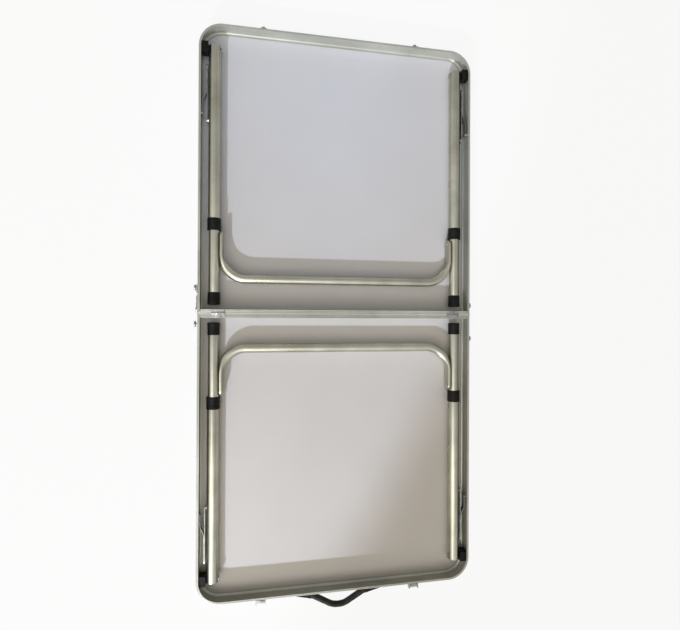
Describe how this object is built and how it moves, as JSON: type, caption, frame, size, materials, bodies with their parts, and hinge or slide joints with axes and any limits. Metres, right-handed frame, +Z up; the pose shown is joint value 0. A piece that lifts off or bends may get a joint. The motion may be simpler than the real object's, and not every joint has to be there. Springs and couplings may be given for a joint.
{
  "type": "folding camping table",
  "caption": "Aluminium folding camping table that closes like a case, with drop legs, folding stays and a carrying handle.",
  "frame": {"origin": "centre of the open table's footprint, at the face of the table top, which lies down", "axes": "+Z up out of the trays, +Y from the handle's half to the other half, +X right"},
  "size_m": [0.6144, 1.2488, 0.0386],
  "materials": {
    "frame": "brushed anodised extrusion",
    "board": "smooth laminate board",
    "tube": "drawn tube, satin",
    "hardware": "zinc plated",
    "black": "moulded",
    "handle": "moulded, fine grain"
  },
  "bodies": {
    "near_half": {"near_edge_frame": "frame", "near_hinge_rail": "frame", "near_board": "board", "near_left_hinge_leaf": "hardware", "near_left_pivot_block": "black", "near_left_pivot_pin": "hardware", "near_right_hinge_leaf": "hardware", "near_right_pivot_block": "black", "near_right_pivot_pin": "hardware", "left_handle_bracket": "black", "left_latch_bracket": "hardware", "right_handle_bracket": "black", "right_latch_bracket": "hardware"},
    "far_half": {"far_edge_frame": "frame", "far_hinge_rail": "frame", "far_board": "board", "far_left_hinge_leaf": "hardware", "far_left_pivot_block": "black", "far_left_pivot_pin": "hardware", "far_right_hinge_leaf": "hardware", "far_right_pivot_block": "black", "far_right_pivot_pin": "hardware", "left_latch_keeper": "hardware", "right_latch_keeper": "hardware"},
    "handle": {"handle_grip": "handle"},
    "left_latch": {"left_latch_arm": "hardware"},
    "right_latch": {"right_latch_arm": "hardware"},
    "near_hook": {"near_side_hook": "hardware"},
    "near_legs": {"near_left_upper_leg_tube": "tube", "near_left_leg_collar": "black", "near_right_upper_leg_tube": "tube", "near_right_leg_collar": "black"},
    "near_lower_legs": {"near_spreader_bar": "tube", "near_left_lower_leg_tube": "tube", "near_left_foot_cap": "black", "near_left_snap_button": "hardware", "near_right_lower_leg_tube": "tube", "near_right_foot_cap": "black", "near_right_snap_button": "hardware"},
    "near_frame_links": {"near_left_frame_link": "hardware", "near_right_frame_link": "hardware"},
    "near_leg_links": {"near_left_leg_link": "hardware", "near_right_leg_link": "hardware"},
    "far_hook": {"far_side_hook": "hardware"},
    "far_legs": {"far_left_upper_leg_tube": "tube", "far_left_leg_collar": "black", "far_right_upper_leg_tube": "tube", "far_right_leg_collar": "black"},
    "far_lower_legs": {"far_spreader_bar": "tube", "far_left_lower_leg_tube": "tube", "far_left_foot_cap": "black", "far_left_snap_button": "hardware", "far_right_lower_leg_tube": "tube", "far_right_foot_cap": "black", "far_right_snap_button": "hardware"},
    "far_frame_links": {"far_left_frame_link": "hardware", "far_right_frame_link": "hardware"},
    "far_leg_links": {"far_left_leg_link": "hardware", "far_right_leg_link": "hardware"}
  },
  "joints": [
    {"name": "table_fold", "type": "hinge", "parent": "near_half", "child": "far_half", "pos_m": [0, 0.0166, 0.03635], "axis": [-1, 0, 0], "range_deg": [-180, 0]},
    {"name": "near_leg_fold", "type": "hinge", "parent": "near_half", "child": "near_legs", "pos_m": [0, -0.5344, 0.0185], "axis": [1, 0, 0], "range_deg": [0, 94]},
    {"name": "near_leg_extension", "type": "slide", "parent": "near_legs", "child": "near_lower_legs", "axis": [0, 1, 0], "range_m": [0, 0.0941], "deforming": ["near_left_snap_button", "near_right_snap_button"]},
    {"name": "near_frame_link_fold", "type": "hinge", "parent": "near_half", "child": "near_frame_links", "pos_m": [0, -0.4014, 0.0185], "axis": [1, 0, 0], "range_deg": [-45.86, 0]},
    {"name": "near_leg_link_fold", "type": "hinge", "parent": "near_legs", "child": "near_leg_links", "pos_m": [0, -0.3864, 0.0185], "axis": [1, 0, 0], "range_deg": [0, 40.16]},
    {"name": "far_leg_fold", "type": "hinge", "parent": "far_half", "child": "far_legs", "pos_m": [0, 0.5676, 0.0185], "axis": [-1, 0, 0], "range_deg": [0, 94]},
    {"name": "far_leg_extension", "type": "slide", "parent": "far_legs", "child": "far_lower_legs", "axis": [0, -1, 0], "range_m": [0, 0.0941], "deforming": ["far_left_snap_button", "far_right_snap_button"]},
    {"name": "far_frame_link_fold", "type": "hinge", "parent": "far_half", "child": "far_frame_links", "pos_m": [0, 0.4346, 0.0185], "axis": [-1, 0, 0], "range_deg": [-45.86, 0]},
    {"name": "far_leg_link_fold", "type": "hinge", "parent": "far_legs", "child": "far_leg_links", "pos_m": [0, 0.4196, 0.0185], "axis": [-1, 0, 0], "range_deg": [0, 40.16]},
    {"name": "near_hook_swing", "type": "hinge", "parent": "near_half", "child": "near_hook", "pos_m": [0.3012, 0.0076, 0.02], "axis": [-1, 0, 0], "range_deg": [0, 180]},
    {"name": "far_hook_swing", "type": "hinge", "parent": "far_half", "child": "far_hook", "pos_m": [-0.3012, 0.0256, 0.02], "axis": [1, 0, 0], "range_deg": [0, 180]},
    {"name": "left_latch_swing", "type": "hinge", "parent": "near_half", "child": "left_latch", "pos_m": [-0.168, -0.5892, 0.029], "axis": [1, 0, 0], "range_deg": [-180, 0]},
    {"name": "right_latch_swing", "type": "hinge", "parent": "near_half", "child": "right_latch", "pos_m": [0.168, -0.5892, 0.029], "axis": [1, 0, 0], "range_deg": [-180, 0]},
    {"name": "handle_swing", "type": "hinge", "parent": "near_half", "child": "handle", "pos_m": [0, -0.5929, 0.0175], "axis": [1, 0, 0], "range_deg": [-75, 75]}
  ],
  "couplings": [
    {"joint": "near_leg_extension", "follows": "near_leg_fold", "m_per_rad": 0.057296},
    {"joint": "near_frame_link_fold", "follows": "near_leg_fold", "ratio": -0.48776},
    {"joint": "near_leg_link_fold", "follows": "near_leg_fold", "ratio": 0.42713},
    {"joint": "far_leg_extension", "follows": "far_leg_fold", "m_per_rad": 0.057296},
    {"joint": "far_frame_link_fold", "follows": "far_leg_fold", "ratio": -0.48776},
    {"joint": "far_leg_link_fold", "follows": "far_leg_fold", "ratio": 0.42713}
  ]
}
